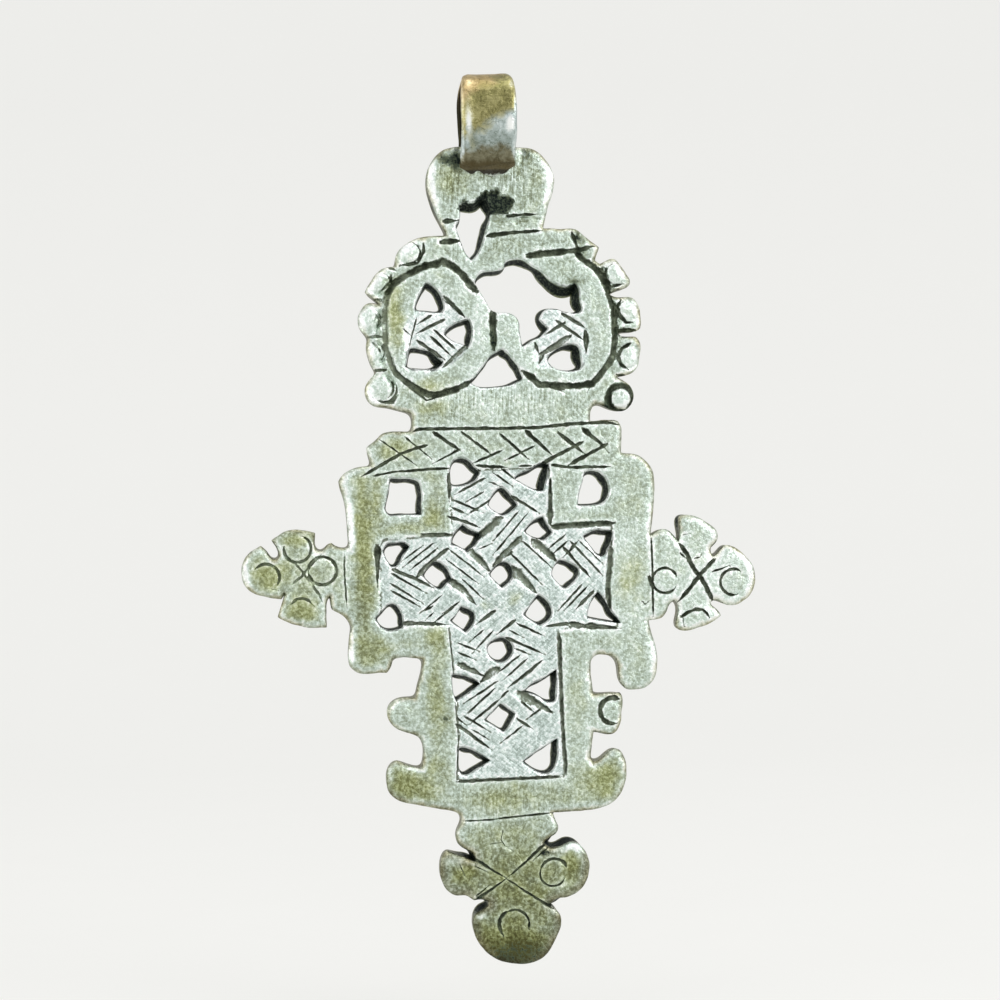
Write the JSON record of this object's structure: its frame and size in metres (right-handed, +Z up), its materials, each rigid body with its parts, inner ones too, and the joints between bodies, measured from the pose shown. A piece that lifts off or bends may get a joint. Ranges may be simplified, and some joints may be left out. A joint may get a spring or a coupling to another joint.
{
  "type": "openwork pendant cross",
  "caption": "Flat cast pendant cross with a pierced and engraved interlace, beaded twin roundels, lobed arms and a bent strap bail soldered over its neck.",
  "frame": {"origin": "middle of the bail's loop, where a cord carries the pendant", "axes": "+Z up as the pendant hangs, +X to the right as seen from the engraved face, which looks along -Y"},
  "size_m": [0.0513, 0.0072, 0.0889],
  "materials": {
    "cast_white_metal": "worn satin with dark grooves",
    "strap_white_metal": "rubbed bright",
    "solder": "dull"
  },
  "bodies": {
    "root": {"cross_plate": "cast_white_metal", "bail_strap": "strap_white_metal", "solder_front": "solder", "solder_back": "solder"}
  },
  "joints": []
}
